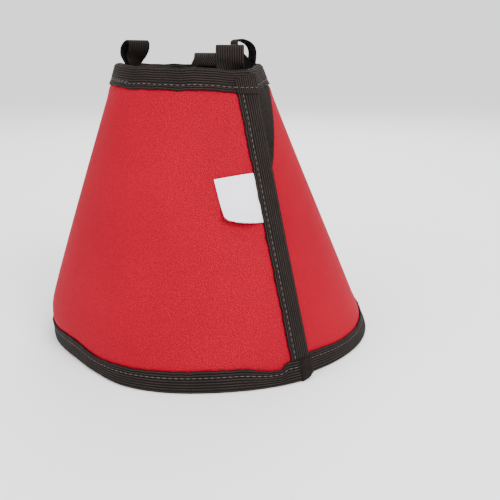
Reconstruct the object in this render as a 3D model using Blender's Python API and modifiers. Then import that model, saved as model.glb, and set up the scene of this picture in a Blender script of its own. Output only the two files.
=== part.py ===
"""A soft elizabethan collar, the cone that keeps a pet from licking a wound.

A fan of foam-backed nylon is wrapped into a cone and laps over itself at the front, where a
hook-and-loop closure holds it. Ribbed elastic tape is folded over the neck edge, the hem and both
ends of the fan. Four loops of the same elastic stand at the neck for the pet's own collar, and a
folded label is caught in the tape of the front edge.

The cone stands on its hem at z = 0. A turn is an angle round the cone in degrees: 0 faces the
front (-Y), and it grows towards the right (+X). The fan starts at its hidden end, inside the lap,
and runs once round to its free end, so its last turns are 360 higher than the front they cover.
"""

import math
from bisect import bisect_right
from collections import namedtuple
from functools import lru_cache

import bmesh
import bpy
from mathutils import Matrix, Vector

COLLECTION = "elizabethan collar"

# Overall sizes of the bound cone, in metres
HEM_WIDTH = 0.2570
NECK_WIDTH = 0.1115
HEIGHT = 0.2075
NECK_SHIFT = -0.0142

# Cloth, tape and the space between pieces
PANEL_WALL = 0.0028
TAPE_WALL = 0.0010
FIT = 0.0003

# Width of each binding's face
NECK_FACE = 0.0142
HEM_FACE = 0.0130
EDGE_FACE = 0.0146

# The free end's turn at the hem, how far the fan laps over its hidden end, and how long it
# takes to settle from a layer of the lap to the cone's own outline, all in degrees
FREE_TURN = 395.0
LAP = 31.0
SETTLE = 46.0

# How far the neck edge dips at the free end, as a share of the height
NECK_DIP = 0.010

# Rounded corners of the free end: how far each runs along the edge, and its depth as a share
HEM_CORNER = 0.0070
NECK_CORNER = 0.0050
CORNER_DEPTH = 0.4

# Closure strips: widths, and how far the loop strip shows past the free edge at the neck and
# lies behind it at the hem
LOOP_TAPE_WIDTH = 0.0180
HOOK_TAPE_WIDTH = 0.0200
CLOSURE_SHOWS = 0.0058
CLOSURE_HIDES = 0.0300

# Collar loops
LOOP_WIDTH = 0.0200
LOOP_TAIL = 0.0120
LOOP_WALL = 0.0013
SEAT_GAP = 0.0008
TWIST_BY = 0.4

# Label
LABEL_REACH = 0.0270
LABEL_HEIGHT = 0.0320
LABEL_WALL = 0.0010
LABEL_LOW = 0.1035
LABEL_CURL = 0.0035

# Sections round the fan, with closer ones in the last turns before the free end, and the rows
# of points between the hem's and the neck's bindings, as shares of that height
PANEL_SECTIONS = 76
CLOSE_SECTIONS = 8
CLOSE_TURNS = 15.0
ROWS = (0.0, 0.06, 0.14, 0.26, 0.44, 0.63, 0.82, 1.0)

UP = Vector((0, 0, 1))
HALF_WALL = PANEL_WALL / 2
TAPE_LIFT = HALF_WALL + FIT + TAPE_WALL / 2
OUTSIDE = TAPE_LIFT + TAPE_WALL / 2
LAYER_STEP = PANEL_WALL + 2 * TAPE_WALL + 5 * FIT
START_TURN = FREE_TURN - 360 - LAP
HEM_RADIUS = HEM_WIDTH / 2 - OUTSIDE
NECK_RADIUS = NECK_WIDTH / 2 - OUTSIDE
BASE = FIT + TAPE_WALL
TOP = HEIGHT - FIT - TAPE_WALL

# The cone in plan, seen from above. Reaches are shares of the hem's and the neck's radius,
# lead is how far the neck end of a ruling is turned from its hem end, in degrees, rim is how far
# the neck edge stands above or below its mean, as a share of the height, droop is how much
# the hem hangs upright there, from 0 where the cone runs straight down to 1, and face is the
# width of the hem binding's face as a share of its mean.
PlanRow = namedtuple("PlanRow", "turn hem_reach neck_reach lead rim droop face")
PLAN = [
    PlanRow(-75, 1.015, 1.035, 4, 0.008, 1.0, 0.98),
    PlanRow(-52, 0.975, 1.070, 3, 0.005, 0.9, 1.16),
    PlanRow(-39, 0.986, 1.035, 3, 0.000, 0.6, 0.92),
    PlanRow(-24, 1.010, 0.955, 4, -0.004, 0.4, 1.00),
    PlanRow(4, 0.976, 0.870, 9, -0.010, 0.2, 1.06),
    PlanRow(34, 0.990, 1.030, 17, -0.008, 0.0, 1.00),
    PlanRow(62, 1.002, 0.985, 13, 0.002, 0.0, 0.84),
    PlanRow(90, 0.992, 0.985, 8, 0.004, 0.0, 0.88),
    PlanRow(135, 1.000, 0.970, 4, 0.003, 0.3, 1.00),
    PlanRow(180, 0.990, 0.930, 0, 0.000, 0.6, 1.00),
    PlanRow(225, 1.000, 0.970, 0, 0.003, 0.8, 1.00),
    PlanRow(260, 1.010, 1.020, 2, 0.006, 1.0, 1.00),
]

# The flare where the hem hangs upright: the share of the height, and how much of the way from
# the hem's radius to the neck's has been covered there.
FlareRow = namedtuple("FlareRow", "height share")
FLARE = [
    FlareRow(-0.100, 0.000),
    FlareRow(0.000, 0.000),
    FlareRow(0.065, -0.010),
    FlareRow(0.120, -0.015),
    FlareRow(0.200, 0.062),
    FlareRow(0.350, 0.235),
    FlareRow(0.600, 0.530),
    FlareRow(0.850, 0.825),
    FlareRow(1.000, 1.000),
    FlareRow(1.100, 1.100),
]

# Colour, roughness and metallic value of each material
Finish = namedtuple("Finish", "name colour roughness metallic")
RED_NYLON = Finish("red nylon", (0.80, 0.012, 0.020), 0.62, 0.0)
BLACK_ELASTIC = Finish("black ribbed elastic", (0.018, 0.015, 0.014), 0.80, 0.0)
BLACK_CLOSURE = Finish("black hook and loop", (0.012, 0.011, 0.011), 0.95, 0.0)
WHITE_SATIN = Finish("white woven label", (0.86, 0.85, 0.90), 0.50, 0.0)


def smooth(share):
    """Eases a share from 0 to 1 with flat ends."""
    share = min(1.0, max(0.0, share))
    return share * share * (3 - 2 * share)


def mix(first, last, share):
    """The value that lies a share of the way from first to last."""
    return first + (last - first) * share


def through(xs, ys, x):
    """A smooth curve through a table's points, with each slope taken from its neighbours."""
    i = min(max(bisect_right(xs, x) - 1, 1), len(xs) - 3)
    width = xs[i + 1] - xs[i]
    slopes = [(ys[j + 1] - ys[j - 1]) / (xs[j + 1] - xs[j - 1]) for j in (i, i + 1)]
    t = (x - xs[i]) / width
    return (
        ys[i] * (1 + 2 * t) * (1 - t) ** 2
        + slopes[0] * width * t * (1 - t) ** 2
        + ys[i + 1] * t * t * (3 - 2 * t)
        - slopes[1] * width * t * t * (1 - t)
    )


@lru_cache(maxsize=None)
def plan_at(turn):
    """The plan's row at any turn, from the table's rows repeated round the cone."""
    lowest = PLAN[0].turn
    turn = (turn - lowest) % 360 + lowest
    rows = [row._replace(turn=row.turn + 360 * lap) for lap in (-1, 0, 1) for row in PLAN]
    turns = [row.turn for row in rows]
    fields = PlanRow._fields[1:]
    return PlanRow(turn, *(through(turns, [getattr(row, f) for row in rows], turn) for f in fields))


def flare_at(height, droop):
    """How much of the way from the hem's radius to the neck's is covered at a share of the height."""
    hanging = through([row.height for row in FLARE], [row.share for row in FLARE], height)
    return mix(height, hanging, droop)


def layer_at(turn):
    """How far the lap pushes the fan in at its hidden end and out at its free end."""
    clear = 4.0
    inner = 1 - smooth((turn - (FREE_TURN - 360) - clear) / SETTLE)
    outer = smooth((turn - (START_TURN + 360) + clear + SETTLE) / SETTLE)
    return (outer - inner) * LAYER_STEP / 2


def top_at(turn):
    """Height of the panel's neck edge: it dips at the free end, which lies over the hidden one."""
    dip = NECK_DIP * HEIGHT * smooth((turn - (START_TURN + 360)) / LAP)
    return TOP + plan_at(turn).rim * HEIGHT - dip


def polar(turn, reach):
    """A level point at a turn and a reach."""
    return Vector((reach * math.sin(math.radians(turn)), -reach * math.cos(math.radians(turn)), 0))


def skin(turn, z):
    """A point on the cone between the two layers of its lap: its rulings are straight."""
    plan = plan_at(turn)
    share = flare_at((z - BASE) / (TOP - BASE), plan.droop)
    hem = polar(turn, HEM_RADIUS * plan.hem_reach)
    neck = polar(turn + plan.lead, NECK_RADIUS * plan.neck_reach) + Vector((NECK_SHIFT, 0, 0))
    return hem.lerp(neck, share) + Vector((0, 0, z))


def normal_at(turn, z):
    """The cone's outward direction at a point."""
    step_turn, step_z = 0.2, HEIGHT / 1000
    along = skin(turn + step_turn, z) - skin(turn - step_turn, z)
    up = skin(turn, z + step_z) - skin(turn, z - step_z)
    return along.cross(up).normalized()


def spot(turn, z, lift=0.0):
    """A point that stands a lift out from the panel's middle. At the hem a lift is level."""
    normal = normal_at(turn, z)
    out = normal.copy()
    out.z *= smooth((z - BASE - HEM_FACE) / HEM_FACE)
    return skin(turn, z) + out * (lift + layer_at(turn)) / normal.dot(out)


def turn_back(turn, z, distance):
    """The turn that lies a distance along the panel before another, at the same height."""
    pace = (spot(turn, z) - spot(turn - 1, z)).length
    return turn - distance / pace


def corner_cut(turn, z, run):
    """How far a rounded corner of the free end has cut in from the edge at a turn."""
    left = (FREE_TURN - turn) * (spot(FREE_TURN, z) - spot(FREE_TURN - 1, z)).length
    inside = min(1.0, max(0.0, 1 - left / run))
    return CORNER_DEPTH * run * inside * inside


def hem_edge(turn):
    """Height of the hem's edge, which rises at the free end's rounded corner."""
    return BASE + corner_cut(turn, BASE, HEM_CORNER)


def hem_tip(turn):
    """Height of the hem binding's upper edge."""
    return BASE + HEM_FACE * plan_at(turn).face


def neck_edge(turn):
    """Height of the panel's neck edge, which drops at the free end's rounded corner."""
    return top_at(turn) - corner_cut(turn, TOP, NECK_CORNER)


def finish_of(finish):
    """The material of a finish, made once."""
    material = bpy.data.materials.get(finish.name)
    if material is None:
        material = bpy.data.materials.new(finish.name)
        material.use_nodes = True
        shader = material.node_tree.nodes["Principled BSDF"]
        shader.inputs["Base Color"].default_value = (*finish.colour, 1)
        shader.inputs["Roughness"].default_value = finish.roughness
        shader.inputs["Metallic"].default_value = finish.metallic
        material.diffuse_color = (*finish.colour, 1)
    return material


def sheet(name, finish, across, along, thickness, place):
    """A sheet of cloth: a flat grid moved onto place(across, along), both 0 to 1, given a wall."""
    grid = bmesh.new()
    bmesh.ops.create_grid(grid, x_segments=across, y_segments=along, size=0.5)
    for vertex in grid.verts:
        vertex.co = place(vertex.co.x + 0.5, vertex.co.y + 0.5)
    mesh = bpy.data.meshes.new(name)
    grid.to_mesh(mesh)
    grid.free()
    mesh.shade_smooth()
    piece = bpy.data.objects.new(name, mesh)
    piece.data.materials.append(finish_of(finish))
    bpy.data.collections[COLLECTION].objects.link(piece)
    solid = piece.modifiers.new("wall", "SOLIDIFY")
    solid.thickness = thickness
    solid.offset = 0
    solid.use_even_offset = True
    return piece


def fold_path(face, steps=2):
    """A tape folded over an edge, as (depth onto the panel, lift) from leaf to leaf."""
    bend = TAPE_WALL / 2
    depth = -(FIT + TAPE_WALL / 2)
    half = [(mix(face, depth + bend, i / steps), TAPE_LIFT) for i in range(steps + 1)]
    half.append((depth, TAPE_LIFT - bend))
    return half + [(d, -lift) for d, lift in reversed(half)]


def fan_turns():
    """The turns of the fan's sections, with closer ones towards the free end's rounded corners."""
    last_even = FREE_TURN - CLOSE_TURNS
    even = [mix(START_TURN, last_even, i / PANEL_SECTIONS) for i in range(PANEL_SECTIONS)]
    left = [1 - i / CLOSE_SECTIONS for i in range(CLOSE_SECTIONS + 1)]
    return even + [FREE_TURN - CLOSE_TURNS * share ** 1.5 for share in left]


def along_path(path, share):
    """The point of a path at a share of its count of points."""
    return path[round(share * (len(path) - 1))]


def open_rows(turn):
    """The heights of the rows between the hem's and the neck's bindings, at a turn."""
    low = hem_tip(turn) + 2 * FIT
    high = top_at(turn) - NECK_FACE - 2 * FIT
    return [mix(low, high, share) for share in ROWS]


def make_panel():
    """The fan of foam-backed nylon, from its hidden end to its free end."""
    turns = fan_turns()
    rows_under_bindings = 4

    def place(across, along):
        turn = along_path(turns, across)
        hang = HALF_WALL * normal_at(turn, BASE).z
        low = [hem_edge(turn) + hang, mix(BASE, hem_tip(turn), 0.5)]
        high = [top_at(turn) - NECK_FACE / 2, neck_edge(turn)]
        return spot(turn, along_path(low + open_rows(turn) + high, along))

    along = len(ROWS) + rows_under_bindings - 1
    return sheet("cone_panel", RED_NYLON, len(turns) - 1, along, PANEL_WALL, place)


def binding_turns(z):
    """The fan's turns, and past both of its ends as far as the end bindings reach."""
    past = FIT + TAPE_WALL
    return [turn_back(START_TURN, z, past), *fan_turns(), turn_back(FREE_TURN, z, -past)]


def make_hem_binding():
    """The tape folded over the wide edge, which the collar stands on."""
    path = fold_path(HEM_FACE)
    turns = binding_turns(BASE)

    def place(across, along):
        turn = along_path(turns, across)
        depth, lift = along_path(path, along)
        if depth < HEM_FACE / 4:
            return spot(turn, hem_edge(min(turn, FREE_TURN)) + depth, lift)
        return spot(turn, mix(BASE, hem_tip(turn), depth / HEM_FACE), lift)

    return sheet("hem_binding", BLACK_ELASTIC, len(turns) - 1, len(path) - 1, TAPE_WALL, place)


def make_neck_binding():
    """The tape folded over the neck edge."""
    path = fold_path(NECK_FACE, steps=1)
    turns = binding_turns(TOP)

    def place(across, along):
        turn = along_path(turns, across)
        depth, lift = along_path(path, along)
        if depth < NECK_FACE / 4:
            return spot(turn, neck_edge(min(turn, FREE_TURN)) - depth, lift)
        return spot(turn, top_at(turn) - depth, lift)

    return sheet("neck_binding", BLACK_ELASTIC, len(turns) - 1, len(path) - 1, TAPE_WALL, place)


def edge_binding(name, end_turn, side):
    """The tape folded over an end of the fan, between the hem's and the neck's bindings."""
    path = fold_path(EDGE_FACE, steps=5)

    def place(across, along):
        depth, lift = along_path(path, along)
        z = along_path(open_rows(turn_back(end_turn, TOP, side * depth)), across)
        return spot(turn_back(end_turn, z, side * depth), z, lift)

    return sheet(name, BLACK_ELASTIC, len(ROWS) - 1, len(path) - 1, TAPE_WALL, place)


def closure_strip(name, width, lift, turn, past_low, past_high):
    """A closure strip in the lap, which leans from the line of the free edge."""
    room = 2 * TAPE_WALL
    low, high = open_rows(FREE_TURN)[0] + room, open_rows(FREE_TURN)[-1] - room

    def place(across, along):
        share = along_path(ROWS, across)
        z = mix(low, high, share)
        past = mix(past_low, past_high, share)
        return spot(turn_back(turn, z, width * along - past), z, lift)

    return sheet(name, BLACK_CLOSURE, len(ROWS) - 1, 4, TAPE_WALL, place)


def make_closure():
    """The loop strip on the outside of the hidden end, and the hook strip inside the free end."""
    under = FREE_TURN - 360
    lift = TAPE_LIFT + FIT
    closure_strip("loop_tape", LOOP_TAPE_WIDTH, lift, under, -CLOSURE_HIDES, CLOSURE_SHOWS)
    inset = -(EDGE_FACE + 2 * FIT)
    closure_strip("hook_tape", HOOK_TAPE_WIDTH, -lift, FREE_TURN, inset, inset)


def make_label():
    """The folded label, caught in the front edge's tape, with its lower edge standing off."""
    lift = HALF_WALL + FIT + LABEL_WALL / 2

    def place(across, along):
        z = LABEL_LOW + LABEL_HEIGHT * along
        turn = turn_back(FREE_TURN, z, EDGE_FACE + FIT + LABEL_REACH * across)
        curl = LABEL_CURL * (1 - smooth(along / 0.45)) * smooth(across / 0.6)
        return spot(turn, z, lift + curl)

    return sheet("side_label", WHITE_SATIN, 6, 8, LABEL_WALL, place)


# Each collar loop: its turn, the way that its width faces in plan, in degrees from +X, its height
# over the rim and its open width, both as shares of the tape's width, and its lean inwards.
LoopRow = namedtuple("LoopRow", "name turn facing height belly lean")
LOOPS = [
    LoopRow("collar_loop_front", 25, 0, 0.88, 0.62, 4),
    LoopRow("collar_loop_right", 99, 106, 1.04, 0.74, 32),
    LoopRow("collar_loop_back", 166, 180, 0.84, 0.60, 76),
    LoopRow("collar_loop_left", 252, 228, 1.00, 0.60, 22),
]


def loop_path(row, steps=10):
    """A loop's side view as (inwards, up) from the rim: up the outer leg, over and down again."""
    gap = (LOOP_WALL + FIT) / 2
    height = row.height * LOOP_WIDTH
    belly = row.belly * LOOP_WIDTH / 2
    lean = math.radians(row.lean)
    path = [(-gap, -LOOP_TAIL), (-gap, -LOOP_TAIL / 2), (-gap, 0.0)]
    for step in range(1, steps):
        share = step / steps
        around = math.pi * (share - 0.5)
        up = height * (math.cos(around) * 0.98 + 0.02)
        out = belly * math.sin(around) * (0.25 + 0.75 * smooth(up / height / 0.75))
        sine, cosine = math.sin(lean * up / height), math.cos(lean * up / height)
        path.append((out * cosine + up * sine, up * cosine - out * sine))
    return path + [(gap, 0.0), (gap, -LOOP_TAIL / 2), (gap, -LOOP_TAIL)]


def make_collar_loop(row):
    """A loop of the elastic, sewn inside the neck binding, which stands up and leans inwards."""
    path = loop_path(row)
    rim = top_at(row.turn) + FIT + TAPE_WALL + LOOP_WALL
    seat = OUTSIDE + SEAT_GAP + LOOP_WALL + FIT / 2
    foot = spot(row.turn, rim, -seat)
    tangent = (skin(row.turn + 0.5, rim) - skin(row.turn - 0.5, rim)).normalized()
    facing = polar(row.facing + 90, 1)

    def place(across, along):
        inward, up = along_path(path, along)
        side = (across - 0.5) * LOOP_WIDTH
        if up <= 0:
            inwards = UP.cross(tangent)
            return spot(turn_back(row.turn, rim + up, -side), rim + up, -seat) + inwards * inward
        twisted = smooth(up / (row.height * LOOP_WIDTH) / TWIST_BY)
        width_way = tangent.lerp(facing, twisted).normalized()
        return foot + width_way * side + UP.cross(width_way) * inward + UP * up

    return sheet(row.name, BLACK_ELASTIC, 5, len(path) - 1, LOOP_WALL, place)


def centre_on(hem):
    """Moves every piece so that the middle of the hem's outline stands over the origin."""
    points = [vertex.co for vertex in hem.data.vertices]
    middle = [(min(p[i] for p in points) + max(p[i] for p in points)) / 2 for i in (0, 1)]
    for piece in bpy.data.collections[COLLECTION].objects:
        piece.data.transform(Matrix.Translation((-middle[0], -middle[1], 0)))


def main():
    for thing in list(bpy.data.objects):
        bpy.data.objects.remove(thing, do_unlink=True)
    collection = bpy.data.collections.new(COLLECTION)
    bpy.context.scene.collection.children.link(collection)
    make_panel()
    make_hem_binding()
    make_neck_binding()
    edge_binding("front_edge_binding", FREE_TURN, 1)
    edge_binding("under_edge_binding", START_TURN, -1)
    make_closure()
    make_label()
    for row in LOOPS:
        make_collar_loop(row)
    centre_on(bpy.data.objects["hem_binding"])


main()
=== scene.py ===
"""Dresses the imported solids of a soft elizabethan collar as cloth, elastic tape and thread.

The cone is a fan of oxford nylon over thin foam. It laps over itself at the front, where hook and
loop hold it. Ribbed elastic tape is folded over its neck, its hem and both of its ends, and four
loops of ribbed elastic stand inside the neck. Every piece here follows the same cone as the solids,
with its weave, ribs, puckers and stitches added.

Turns are angles round the cone in degrees: 0 faces the front (-Y) and they grow towards +X. The fan
starts at its hidden end and runs once round, so its last turns lie 360 above the ones they cover.
"""

import logging
import math
from dataclasses import dataclass
from enum import Enum
from functools import partial
from typing import Any, Callable, NamedTuple, Optional, Sequence

import bpy
import numpy as np
from mathutils import Matrix, Vector


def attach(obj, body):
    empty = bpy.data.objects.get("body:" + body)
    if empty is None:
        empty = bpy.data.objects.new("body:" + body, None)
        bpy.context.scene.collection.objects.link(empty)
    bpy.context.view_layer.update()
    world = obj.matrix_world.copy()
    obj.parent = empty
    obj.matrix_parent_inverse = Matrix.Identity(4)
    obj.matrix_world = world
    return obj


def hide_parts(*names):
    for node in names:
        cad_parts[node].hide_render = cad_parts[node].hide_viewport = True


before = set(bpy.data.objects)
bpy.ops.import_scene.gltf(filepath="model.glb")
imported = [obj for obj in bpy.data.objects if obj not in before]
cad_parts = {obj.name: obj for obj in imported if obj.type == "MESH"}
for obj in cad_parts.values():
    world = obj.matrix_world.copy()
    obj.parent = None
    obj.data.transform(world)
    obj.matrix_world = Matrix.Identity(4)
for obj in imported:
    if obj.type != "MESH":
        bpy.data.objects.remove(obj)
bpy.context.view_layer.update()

LOG = logging.getLogger("elizabethan_collar")
BODY = "root"
CLOTH_MAP = "cloth"


class Slot(Enum):
    """The record's material slots."""

    NYLON = "red_nylon"
    ELASTIC = "black_elastic"
    CLOSURE = "black_closure"
    LABEL = "white_label"


@dataclass(frozen=True)
class CollarSizes:
    """The collar's real sizes, in metres and degrees, as the solids have them."""

    hem_width: float = 0.2570
    neck_width: float = 0.1115
    height: float = 0.2075
    neck_shift: float = -0.0142
    panel_wall: float = 0.0028
    tape_wall: float = 0.0010
    fit: float = 0.0003
    neck_face: float = 0.0142
    hem_face: float = 0.0130
    edge_face: float = 0.0146
    free_turn: float = 395.0
    lap: float = 31.0
    settle: float = 46.0
    neck_dip: float = 0.010
    hem_corner: float = 0.0070
    neck_corner: float = 0.0050
    corner_depth: float = 0.4
    centre_x: float = 0.001616
    centre_y: float = 0.001143

    @property
    def half_wall(self) -> float:
        """Half of the panel's wall."""
        return self.panel_wall / 2

    @property
    def tape_lift(self) -> float:
        """How far a tape's middle stands out from the panel's middle."""
        return self.half_wall + self.fit + self.tape_wall / 2

    @property
    def outside(self) -> float:
        """How far a tape's outer face stands out from the panel's middle."""
        return self.tape_lift + self.tape_wall / 2

    @property
    def layer_step(self) -> float:
        """How far apart the two layers of the lap lie."""
        return self.panel_wall + 2 * self.tape_wall + 5 * self.fit

    @property
    def start_turn(self) -> float:
        """The turn of the fan's hidden end."""
        return self.free_turn - 360 - self.lap

    @property
    def base(self) -> float:
        """Height of the panel's hem edge."""
        return self.fit + self.tape_wall

    @property
    def top(self) -> float:
        """Mean height of the panel's neck edge."""
        return self.height - self.fit - self.tape_wall


SIZES = CollarSizes()


class PlanRow(NamedTuple):
    """The cone in plan at a turn.

    Reaches are shares of the hem's and the neck's radius, lead is how far the neck end of a ruling
    is turned from its hem end, rim is the neck edge's height over its mean as a share of the height,
    droop is how much the hem hangs upright, and face is the width of the hem's tape over its mean.
    """

    turn: Any
    hem_reach: Any
    neck_reach: Any
    lead: Any
    rim: Any
    droop: Any
    face: Any


PLAN = (
    PlanRow(-75, 1.015, 1.035, 4, 0.008, 1.0, 0.98),
    PlanRow(-52, 0.975, 1.070, 3, 0.005, 0.9, 1.16),
    PlanRow(-39, 0.986, 1.035, 3, 0.000, 0.6, 0.92),
    PlanRow(-24, 1.010, 0.955, 4, -0.004, 0.4, 1.00),
    PlanRow(4, 0.976, 0.870, 9, -0.010, 0.2, 1.06),
    PlanRow(34, 0.990, 1.030, 17, -0.008, 0.0, 1.00),
    PlanRow(62, 1.002, 0.985, 13, 0.002, 0.0, 0.84),
    PlanRow(90, 0.992, 0.985, 8, 0.004, 0.0, 0.88),
    PlanRow(135, 1.000, 0.970, 4, 0.003, 0.3, 1.00),
    PlanRow(180, 0.990, 0.930, 0, 0.000, 0.6, 1.00),
    PlanRow(225, 1.000, 0.970, 0, 0.003, 0.8, 1.00),
    PlanRow(260, 1.010, 1.020, 2, 0.006, 1.0, 1.00),
)

# Share of the height, and how much of the way from the hem's radius to the neck's is covered there
FLARE = (
    (-0.100, 0.000),
    (0.000, 0.000),
    (0.065, -0.010),
    (0.120, -0.015),
    (0.200, 0.062),
    (0.350, 0.235),
    (0.600, 0.530),
    (0.850, 0.825),
    (1.000, 1.000),
    (1.100, 1.100),
)


def smooth(share: Any) -> np.ndarray:
    """Eases a share from 0 to 1 with flat ends."""
    share = np.clip(share, 0.0, 1.0)
    return share * share * (3 - 2 * share)


def mix(first: Any, last: Any, share: Any) -> Any:
    """The value that lies a share of the way from first to last."""
    return first + (last - first) * share


def through(xs: np.ndarray, ys: np.ndarray, x: np.ndarray) -> np.ndarray:
    """A smooth curve through a table's points, with each slope taken from its neighbours.

    Args:
        xs: the table's positions, rising.
        ys: the table's values.
        x: where the curve is read.

    Returns:
        The curve's value at each x.
    """
    i = np.clip(np.searchsorted(xs, x, side="right") - 1, 1, len(xs) - 3)
    width = xs[i + 1] - xs[i]
    first = (ys[i + 1] - ys[i - 1]) / (xs[i + 1] - xs[i - 1])
    last = (ys[i + 2] - ys[i]) / (xs[i + 2] - xs[i])
    t = (x - xs[i]) / width
    return (
        ys[i] * (1 + 2 * t) * (1 - t) ** 2
        + first * width * t * (1 - t) ** 2
        + ys[i + 1] * t * t * (3 - 2 * t)
        - last * width * t * t * (1 - t)
    )


def polar(turn: Any, reach: Any) -> np.ndarray:
    """Level points at turns and reaches."""
    angle = np.radians(turn)
    return np.stack([reach * np.sin(angle), -reach * np.cos(angle), 0 * angle], -1)


def unit(vectors: np.ndarray) -> np.ndarray:
    """The vectors at a length of 1."""
    return vectors / np.maximum(np.linalg.norm(vectors, axis=-1, keepdims=True), 1e-12)


class ConeForm:
    """The cone that the fan, its tapes and its label follow, as the solids have it."""

    def __init__(self, sizes: CollarSizes) -> None:
        """Lays out the plan's tables, repeated round the cone."""
        self.sizes = sizes
        rows = [row._replace(turn=row.turn + 360 * lap) for lap in (-1, 0, 1) for row in PLAN]
        self._plan = np.array(rows, dtype=float)
        self._flare = np.array(FLARE)
        self._hem_radius = sizes.hem_width / 2 - sizes.outside
        self._neck_radius = sizes.neck_width / 2 - sizes.outside

    def plan(self, turn: Any) -> PlanRow:
        """The plan's row at any turns."""
        lowest = PLAN[0].turn
        turn = (np.asarray(turn, dtype=float) - lowest) % 360 + lowest
        turns = self._plan[:, 0]
        return PlanRow(turn, *(through(turns, column, turn) for column in self._plan.T[1:]))

    def layer(self, turn: Any) -> np.ndarray:
        """How far the lap pushes the fan in at its hidden end and out at its free end."""
        sizes, clear = self.sizes, 4.0
        inner = 1 - smooth((turn - (sizes.free_turn - 360) - clear) / sizes.settle)
        outer = smooth((turn - (sizes.start_turn + 360) + clear + sizes.settle) / sizes.settle)
        return (outer - inner) * sizes.layer_step / 2

    def top(self, turn: Any) -> np.ndarray:
        """Height of the panel's neck edge, which dips at the free end."""
        sizes = self.sizes
        dip = sizes.neck_dip * smooth((turn - (sizes.start_turn + 360)) / sizes.lap)
        return sizes.top + (self.plan(turn).rim - dip) * sizes.height

    def skin(self, turn: Any, z: Any) -> np.ndarray:
        """Points on the cone between the two layers of its lap."""
        plan, sizes = self.plan(turn), self.sizes
        height = (z - sizes.base) / (sizes.top - sizes.base)
        hanging = through(self._flare[:, 0], self._flare[:, 1], height)
        share = mix(height, hanging, plan.droop)[..., None]
        hem = polar(turn, self._hem_radius * plan.hem_reach)
        neck = polar(turn + plan.lead, self._neck_radius * plan.neck_reach)
        neck[..., 0] += sizes.neck_shift
        points = mix(hem, neck, share)
        points[..., 2] += z
        return points

    def normal(self, turn: Any, z: Any) -> np.ndarray:
        """The cone's outward directions."""
        step_turn, step_z = 0.2, self.sizes.height / 1000
        along = self.skin(turn + step_turn, z) - self.skin(turn - step_turn, z)
        up = self.skin(turn, z + step_z) - self.skin(turn, z - step_z)
        return unit(np.cross(along, up))

    def relief(self, turn: Any, z: Any) -> np.ndarray:
        """The cloth's slow swells over the even cone, in metres, which die out at both edges."""
        swell, round_the_cone, twist = 0.0004, 5, 4.0
        share = np.clip(z / self.sizes.height, 0, 1)
        wave = np.sin(np.radians(round_the_cone * turn) + twist * share)
        return swell * wave * np.sin(math.pi * share)

    def spot(self, turn: Any, z: Any, lift: Any = 0.0) -> np.ndarray:
        """Points that stand a lift out from the panel's middle, in the frame.

        Args:
            turn: turns round the cone, in degrees.
            z: heights, in metres.
            lift: distances out from the panel's middle. At the hem a lift is level.

        Returns:
            The points, with a last axis of 3.
        """
        turn, z, lift = np.broadcast_arrays(*(np.asarray(v, dtype=float) for v in (turn, z, lift)))
        sizes, normal = self.sizes, self.normal(turn, z)
        out = normal.copy()
        out[..., 2] *= smooth((z - sizes.base - sizes.hem_face) / sizes.hem_face)
        reach = (lift + self.layer(turn) + self.relief(turn, z)) / (normal * out).sum(-1)
        centre = np.array([sizes.centre_x, sizes.centre_y, 0.0])
        return self.skin(turn, z) + out * reach[..., None] + centre

    def pace(self, turn: Any, z: Any) -> np.ndarray:
        """Metres along the panel in a degree."""
        return np.linalg.norm(self.spot(turn, z) - self.spot(turn - 1.0, z), axis=-1)

    def turn_back(self, turn: Any, z: Any, distance: Any) -> np.ndarray:
        """The turns that lie a distance along the panel before others, at the same height."""
        return turn - distance / self.pace(np.asarray(turn, dtype=float) + 0.0 * z, z)

    def corner_cut(self, turn: Any, z: float, run: float) -> np.ndarray:
        """How far a rounded corner of the free end has cut in from the edge."""
        left = (self.sizes.free_turn - turn) * self.pace(self.sizes.free_turn, z)
        return self.sizes.corner_depth * run * np.clip(1 - left / run, 0, 1) ** 2

    def hem_cut(self, turn: Any) -> np.ndarray:
        """How far the hem's edge has risen at the free end's corner."""
        turn = np.minimum(turn, self.sizes.free_turn)
        return self.corner_cut(turn, self.sizes.base, self.sizes.hem_corner)

    def neck_cut(self, turn: Any) -> np.ndarray:
        """How far the neck's edge has dropped at the free end's corner."""
        turn = np.minimum(turn, self.sizes.free_turn)
        return self.corner_cut(turn, self.sizes.top, self.sizes.neck_corner)

    def hem_tip(self, turn: Any) -> np.ndarray:
        """Height of the hem tape's upper edge."""
        return self.sizes.base + self.sizes.hem_face * self.plan(turn).face

    def lapped(self, turn: Any) -> np.ndarray:
        """1 where the fan lies on itself and 0 elsewhere."""
        sizes, soft = self.sizes, 6.0
        under = 1 - smooth((turn - (sizes.free_turn - 360)) / soft)
        over = smooth((turn - (sizes.start_turn + 360) + soft) / soft)
        return np.maximum(under, over)


FORM = ConeForm(SIZES)


def ripple(along: np.ndarray, waves: Sequence[tuple[float, float, float]]) -> np.ndarray:
    """A sum of waves along a seam.

    Args:
        along: lengths along the seam, in metres.
        waves: (height, length, phase) of each wave, in metres and radians.

    Returns:
        The offset at each length.
    """
    return sum(height * np.sin(2 * math.pi * along / length + phase) for height, length, phase in waves)


# What the stitching pulls into a tape's free edge: puckers a few stitches long, each with its
# height, length and phase
PUCKERS = ((0.00016, 0.0094, 0.3), (0.00014, 0.0147, 1.9), (0.00018, 0.0331, 4.1))

# How the neck's tape waves up and down: height, waves round the neck, and phase
NECK_WAVES = ((0.00026, 11, 1.0), (0.00016, 23, 2.4))


def linear(hex_colour: str) -> tuple[float, float, float, float]:
    """An sRGB hex value as linear colour."""
    channels = [int(hex_colour[i : i + 2], 16) / 255 for i in (1, 3, 5)]
    return (*(c / 12.92 if c <= 0.04045 else ((c + 0.055) / 1.055) ** 2.4 for c in channels), 1.0)


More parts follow.
